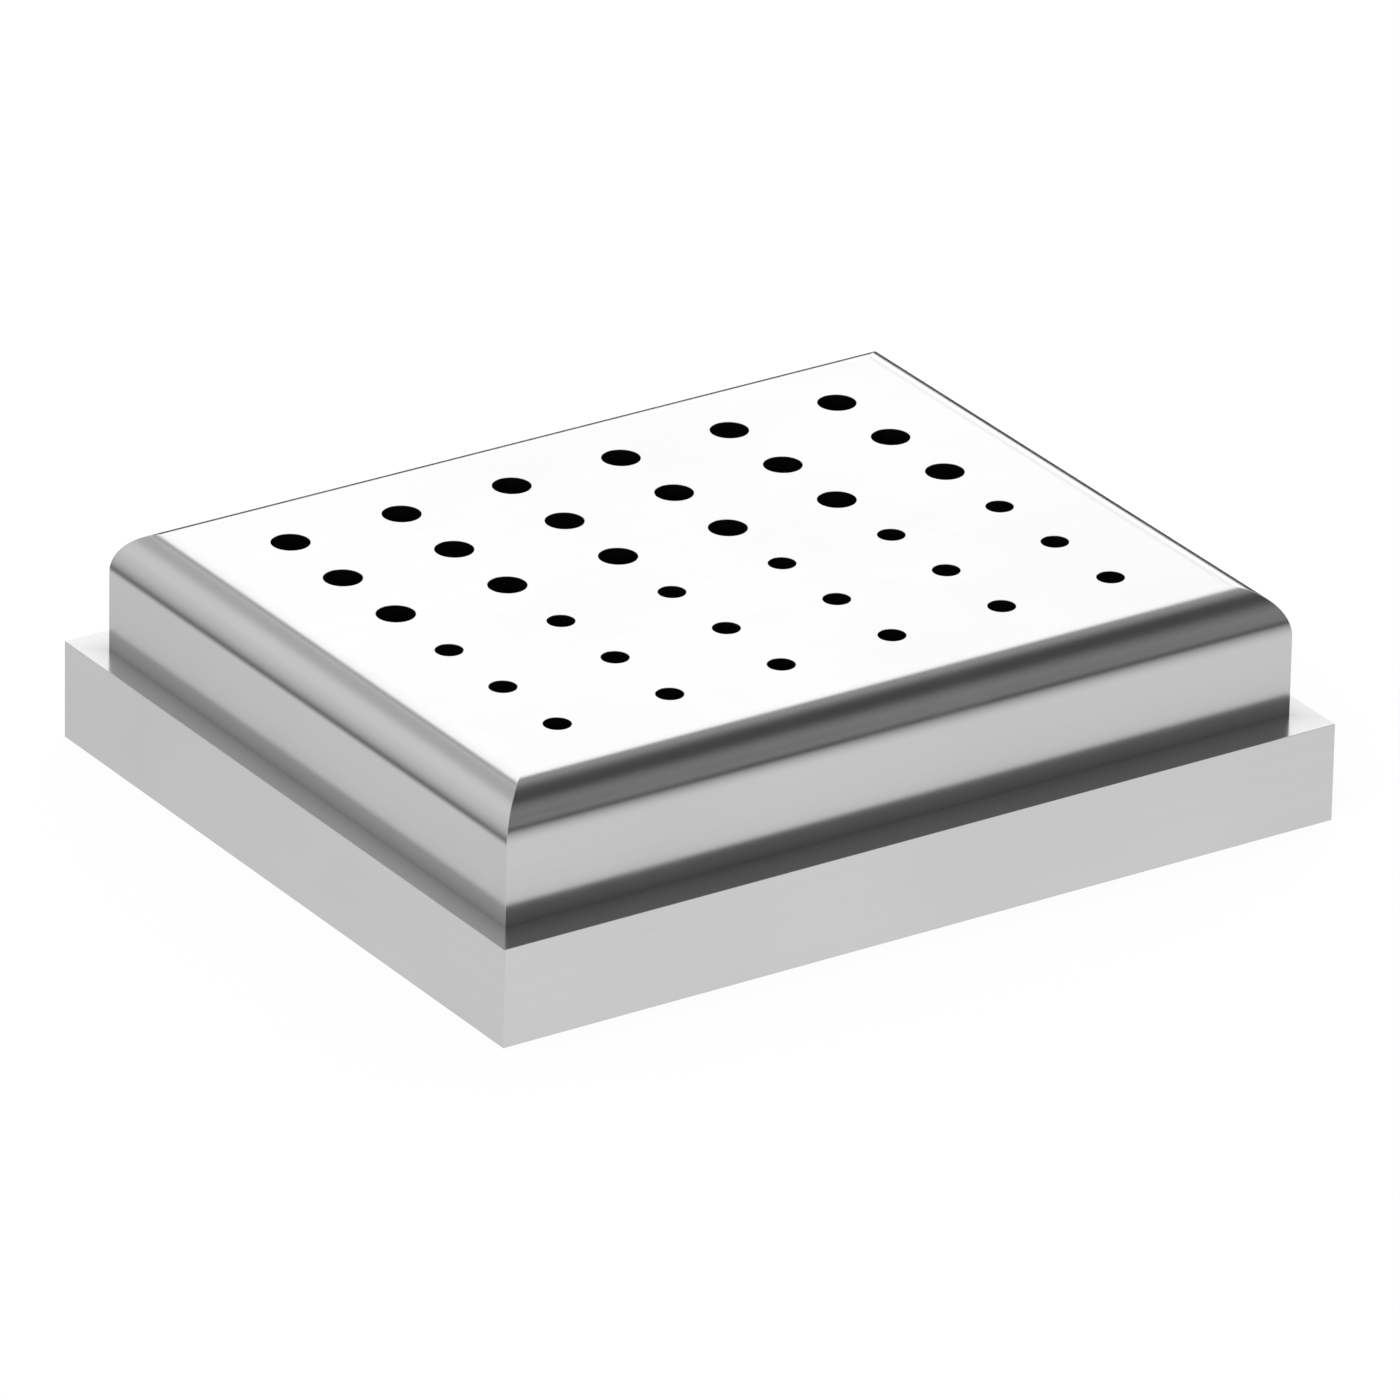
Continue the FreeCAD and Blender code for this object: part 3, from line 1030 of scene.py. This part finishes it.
@dataclass
class Fasteners(Assembly):
    """Four threaded posts and the twelve screws."""

    thread_pitch: float = 0.4
    thread_depth: float = 0.14
    # Along one turn of the thread: the share of the pitch and the share of the depth.
    thread_section: tuple[tuple[float, float], ...] = ((0.15, 0.0), (0.5, 1.0), (0.85, 0.0))
    bore: float = 1.0
    shank: float = 0.95
    post_chamfer: float = 0.18
    socket_sides: int = 6
    socket_across_flats: float = 1.25
    socket_depth: float = 0.6
    socket_land: float = 0.95
    tip_chamfer: float = 0.25
    sink_depth: float = 0.8
    sunk_rim: float = 0.1
    low_head: float = 1.1
    head_edge: float = 0.35
    dome_steps: int = 8

    def build(self) -> None:
        """Turn and dress all sixteen pieces."""
        for number in CORNERS:
            self._post(f"pillar_{number}", f"post_{number}")
            self._sunk_screw(f"pillar_screw_{number}")
            self._sunk_screw(f"plate_screw_{number}")
            self._low_screw(f"guide_screw_{number}")

    def _post(self, node: str, shown: str) -> None:
        """Turn one post with chamfered ends.

        Args:
            node: the solid that it stands for.
            shown: the post's name.
        """
        low, high = solid_box(node)
        radius, cut = (high.x - low.x) / 2, self.post_chamfer
        section = [
            (self.bore, low.z),
            (radius - cut, low.z),
            (radius, low.z + cut),
            (radius, high.z - cut),
            (radius - cut, high.z),
            (self.bore, high.z),
            (self.bore, low.z),
        ]
        work = Workpiece()
        work.turn(section, _centre(node))
        self.dress(work.finished(shown), node, "box", "turned_steel", self.book.post)

    def _thread(self, start: float, end: float) -> Section:
        """Draw the section of a shank with its thread's grooves.

        Args:
            start: the height where the thread begins.
            end: the height of the tip.

        Returns:
            Pairs of radius and height, from the start to the tip's rim.
        """
        way = math.copysign(1.0, end - start)
        turns = int((abs(end - start) - self.tip_chamfer) / self.thread_pitch)
        section = [(self.shank, start)]
        for turn in range(turns):
            for along, deep in self.thread_section:
                height = start + way * self.thread_pitch * (turn + along)
                section.append((self.shank - self.thread_depth * deep, height))
        section.append((self.shank, end - way * self.tip_chamfer))
        section.append((self.shank - self.tip_chamfer, end))
        return section

    def _sunk_screw(self, node: str) -> None:
        """Turn a screw whose flat head points down.

        Args:
            node: the solid that it stands for.
        """
        low, high = solid_box(node)
        head = (high.x - low.x) / 2
        section = [(self.socket_land, low.z), (head - self.sunk_rim, low.z), (head, low.z + self.sunk_rim)]
        section += self._thread(low.z + self.sink_depth, high.z) + [(0.0, high.z)]
        self._socketed(node, section, low.z, 1.0)

    def _low_screw(self, node: str) -> None:
        """Turn a screw whose low domed head points up.

        Args:
            node: the solid that it stands for.
        """
        low, high = solid_box(node)
        head = (high.x - low.x) / 2
        seat = high.z - self.low_head
        rise = self.low_head - self.head_edge
        reach = head - self.socket_land
        radius = (reach**2 + rise**2) / (2 * rise)
        section = [(self.socket_land, high.z)]
        for step in range(1, self.dome_steps):
            out = reach * step / self.dome_steps
            section.append((self.socket_land + out, high.z - radius + math.sqrt(radius**2 - out**2)))
        section += [(head, seat + self.head_edge), (head, seat)]
        section += self._thread(seat, low.z) + [(0.0, low.z)]
        self._socketed(node, section, high.z, -1.0)

    def _socketed(self, node: str, section: Section, face: float, inwards: float) -> None:
        """Turn a screw and sink the six-sided socket into its head.

        Args:
            node: the solid that it stands for.
            section: pairs of radius and height, from the head's land to the axis.
            face: the height of the head's face.
            inwards: +1 or -1, the way that the socket goes.
        """
        centre = _centre(node)
        work = Workpiece()
        work.turn(section, centre)
        corner = self.socket_across_flats / 2 / math.cos(math.pi / self.socket_sides)
        socket = Drilling(centre.x, centre.y, corner)
        land = [edge for edge in work.level_edges(work.mesh.verts, face) if edge.is_boundary]
        mouth = work.ring(socket, face, self.socket_sides)
        floor = work.ring(socket, face + inwards * self.socket_depth, self.socket_sides)
        work.fill(land, mouth)
        work.join(mouth, floor)
        work.fill(floor)
        self.dress(work.finished(f"{node}_detailed"), node, "box", "screw_steel", self.book.screw)


# Studio


Stops = tuple[tuple[float, float], ...]
NADIR = -90.0
ZENITH = 90.0


@dataclass(frozen=True)
class Outlook:
    """What lies round the box from one heading on, as brightness by elevation, all in degrees."""

    start: float
    blend: float
    stops: Stops


OPEN_ROOM: Stops = (
    (-90, 0.90), (-20, 0.90), (-8, 0.74), (0, 0.50), (6, 0.58), (14, 0.95), (45, 1.05), (62, 0.62),
    (74, 0.66), (90, 1.0),
)
LEFT_WALL: Stops = (
    (-90, 0.88), (-25, 0.87), (-22, 0.74), (-19, 0.32), (-16.5, 0.16), (-14, 0.24), (-11.5, 0.42),
    (-7.5, 0.55), (-4, 0.64), (0, 0.72), (4, 0.77), (8, 0.81), (12, 0.84), (16, 0.88), (19, 0.90),
    (29, 0.90), (32, 0.84), (34.5, 0.72), (36.5, 0.60), (38.2, 0.57), (40, 0.61), (60, 0.55),
    (74, 0.62), (90, 1.0),
)
SEAM_FOOT: Stops = ((-90, 0.88), (-25, 0.87), (-10, 0.60), (0, 0.70), (20, 0.90))
LIGHT_SEAM: Stops = (*SEAM_FOOT, (38, 0.74), (60, 0.55), (74, 0.62), (90, 1.0))
DARK_SEAM: Stops = (*SEAM_FOOT, (38, 0.48), (60, 0.50), (74, 0.62), (90, 1.0))
ABOVE_WINDOW: Stops = (
    (41, 1.60), (42.4, 1.20), (44, 0.50), (46, 0.30), (49.5, 0.34), (52, 0.40), (54.5, 0.36),
    (58, 0.25), (62, 0.27), (74, 0.60), (90, 1.0),
)
DARK_FLOOR: Stops = ((-90, 0.88), (-27, 0.86), (-23, 0.03), (-2, 0.03), (-0.5, 0.36), (2.2, 1.60))
FAINT_BAR: Stops = ((16, 1.60), (18, 1.46), (20, 1.46), (22, 1.60))
DARK_BAR: Stops = ((11, 1.60), (14, 1.50), (17, 1.30), (21, 1.30), (23, 1.48), (25, 1.60))
WINDOW: Stops = (
    (-90, 0.88), (-20, 0.86), (-8, 0.72), (-1, 0.70), (2, 1.60), *FAINT_BAR, *ABOVE_WINDOW,
)
WINDOW_OVER_DARK_FLOOR: Stops = (*DARK_FLOOR, *FAINT_BAR, *ABOVE_WINDOW)
BARRED_WINDOW: Stops = (*DARK_FLOOR, *DARK_BAR, *ABOVE_WINDOW)
DARK_ARCH: Stops = (
    (-90, 0.90), (-20, 0.88), (-8, 0.72), (0, 0.62), (8, 0.80), (24, 0.84), (32, 0.32), (37, 0.26),
    (39, 0.25), (43, 0.225), (47, 0.18), (51, 0.125), (54, 0.080), (58, 0.064), (66, 0.13),
    (74, 0.60), (90, 1.0),
)
DARK_CORNER: Stops = (
    (-90, 0.95), (-25, 0.94), (-20, 0.915), (-15, 0.86), (-10, 0.76), (-5, 0.63), (-1, 0.50),
    (2, 0.34), (4, 0.16), (6, 0.07), (9, 0.10), (12, 0.215), (15, 0.25), (20, 0.25), (24, 0.225),
    (28, 0.225), (32, 0.25), (36, 0.262), (39, 0.25), (43, 0.23), (50, 0.30), (60, 0.50),
    (74, 0.66), (90, 1.0),
)


@dataclass(frozen=True)
class Softbox:
    """A wide soft light that faces the box: where it hangs, how wide it is, and its power in watts."""

    name: str
    place: tuple[float, float, float]
    width: float
    power: float


@dataclass
class Studio:
    """The pale ground, the soft surroundings that the steel mirrors, and two soft lights."""

    ground_size: float = 6.0
    ground: TableFinish = TableFinish("pale_table", glow=1.01, share_of_shadow=0.10)
    ground_drop: float = 0.02 * MILLIMETRE
    softboxes: tuple[Softbox, ...] = (
        Softbox("key_softbox", (-0.9, -0.5, 1.3), 1.2, 14.0),
        Softbox("fill_softbox", (1.0, 0.6, 1.2), 1.4, 9.0),
    )
    backdrop: float = 0.99
    brightest: float = 2.0
    around: tuple[Outlook, ...] = (
        Outlook(-180.0, 0.0, OPEN_ROOM),
        Outlook(-95.0, 40.0, LEFT_WALL),
        Outlook(-1.5, 3.0, LIGHT_SEAM),
        Outlook(4.0, 3.5, DARK_SEAM),
        Outlook(11.8, 6.0, WINDOW),
        Outlook(24.0, 4.0, WINDOW_OVER_DARK_FLOOR),
        Outlook(35.8, 2.0, BARRED_WINDOW),
        Outlook(45.5, 4.0, WINDOW),
        Outlook(73.5, 37.0, DARK_ARCH),
        Outlook(138.5, 5.0, DARK_CORNER),
        Outlook(162.0, 22.0, OPEN_ROOM),
    )

    def build(self) -> None:
        """Lay the ground, paint the surroundings and hang the lights."""
        self._lay_ground()
        self._surround()
        for softbox in self.softboxes:
            self._hang(softbox)
        settings = bpy.context.scene.view_settings
        settings.view_transform = "Standard"
        settings.look = "None"
        settings.exposure = 0.0
        settings.gamma = 1.0

    def _lay_ground(self) -> None:
        """Lay a wide level plane under the box, which the steel doesn't mirror."""
        work = bmesh.new()
        level = Matrix.Translation((0.0, 0.0, -self.ground_drop))
        bmesh.ops.create_grid(work, x_segments=1, y_segments=1, size=self.ground_size / 2, matrix=level)
        mesh = bpy.data.meshes.new("table_top")
        work.to_mesh(mesh)
        work.free()
        mesh.materials.append(self.ground.material())
        ground = place_in_scene("table_top", mesh)
        ground.visible_glossy = False
        log.info("table_top laid, %.1f m wide", self.ground_size)

    def _surround(self) -> None:
        """Paint the surroundings by direction: each outlook takes over from the one before it."""
        world = bpy.data.worlds.new("studio")
        bpy.context.scene.world = world
        world.use_nodes = True
        graph = Graph(world.node_tree)
        way = graph.node("ShaderNodeTexCoord").outputs["Generated"]
        east, north, up = graph.parts(way)
        heading = east.heading_with(north) * math.degrees(1.0)
        elevation = up.arcsine() * math.degrees(1.0)
        first, *others = self.around
        light = self._brightness(graph, elevation, first.stops)
        for outlook in others:
            share = heading.stepped(outlook.start - outlook.blend / 2, outlook.start + outlook.blend / 2)
            light = graph.blended(share, light, self._brightness(graph, elevation, outlook.stops))
        direct = graph.value("ShaderNodeLightPath", None, None, "Is Camera Ray")
        strength = graph.blended(direct, light * self.brightest, self.backdrop)
        shine = graph.node("ShaderNodeBackground", None, {"Color": (*WHITE, 1.0), "Strength": strength})
        graph.node("ShaderNodeOutputWorld", None, {"Surface": shine.outputs[0]})

    def _brightness(self, graph: Graph, elevation: Value, stops: Stops) -> Value:
        """Look the brightness at an elevation up on a ramp from straight down to straight up.

        Args:
            graph: the world's graph.
            elevation: the elevation in degrees.
            stops: pairs of elevation in degrees and brightness.

        Returns:
            The brightness, as a share of the brightest.
        """
        scaled = [((degrees - NADIR) / (ZENITH - NADIR), grey / self.brightest) for degrees, grey in stops]
        place = (elevation - NADIR) / (ZENITH - NADIR)
        return graph.value("ShaderNodeValToRGB", {"stops": scaled}, {0: place})

    @staticmethod
    def _hang(softbox: Softbox) -> None:
        """Hang a light and keep it out of the steel's reflections.

        Args:
            softbox: the light.
        """
        lamp = bpy.data.lights.new(softbox.name, "AREA")
        lamp.shape = "SQUARE"
        lamp.size = softbox.width
        lamp.energy = softbox.power
        holder = place_in_scene(softbox.name, lamp)
        holder.location = softbox.place
        holder.rotation_euler = (-Vector(softbox.place)).to_track_quat("-Z", "Y").to_euler()
        holder.visible_glossy = False


@dataclass
class PortraitCamera:
    """The camera, placed where the portrait was taken from."""

    position: Vector = field(default_factory=lambda: Vector((-0.500913, -0.750687, 0.433481)))
    heading: float = 33.7246
    downward: float = 25.3822
    roll: float = 1.1229
    focal_length: float = 420.456
    sensor: float = 36.0
    nearest: float = 0.05
    farthest: float = 50.0

    def place(self) -> None:
        """Set the camera up and make it the scene's camera."""
        heading, downward, roll = (math.radians(angle) for angle in (self.heading, self.downward, self.roll))
        along = math.cos(downward)
        forward = Vector((math.sin(heading) * along, math.cos(heading) * along, -math.sin(downward)))
        level = forward.cross(Vector((0.0, 0.0, 1.0))).normalized()
        upward = level.cross(forward)
        right = level * math.cos(roll) + upward * math.sin(roll)
        top = right.cross(forward)
        lens = bpy.data.cameras.new("portrait_camera")
        lens.lens = self.focal_length
        lens.sensor_width = self.sensor
        lens.clip_start = self.nearest
        lens.clip_end = self.farthest
        camera = place_in_scene("portrait_camera", lens)
        turn = Matrix((right, top, -forward)).transposed()
        camera.matrix_world = Matrix.Translation(self.position) @ turn.to_4x4()
        bpy.context.scene.camera = camera
        log.info("portrait_camera placed, %.1f mm lens", self.focal_length)


# Main


def bur_drillings(record: dict[str, Any]) -> list[Drilling]:
    """Read the bur holes from the record's mounts.

    Args:
        record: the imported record.

    Returns:
        The holes.
    """
    bores = [mount for mount in record["mounts"] if mount["kind"] == "bore"]
    places = [[part / MILLIMETRE for part in mount["pos_m"]] for mount in bores]
    return [Drilling(x, y, mount["dims"]["r_mm"]) for (x, y, _), mount in zip(places, bores)]


def main() -> None:
    """Load the frame, place the camera, and build every sub-assembly and the studio."""
    logging.basicConfig(level=logging.INFO, format="%(name)s: %(message)s")
    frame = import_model()
    drillings = bur_drillings(frame["record"])
    book = FinishBook()
    PortraitCamera().place()
    HoodCover(book, drillings).build()
    PlinthFrame(book).build()
    InnerPlates(book, drillings).build()
    Fasteners(book).build()
    Studio().build()


if __name__ == "__main__":
    main()
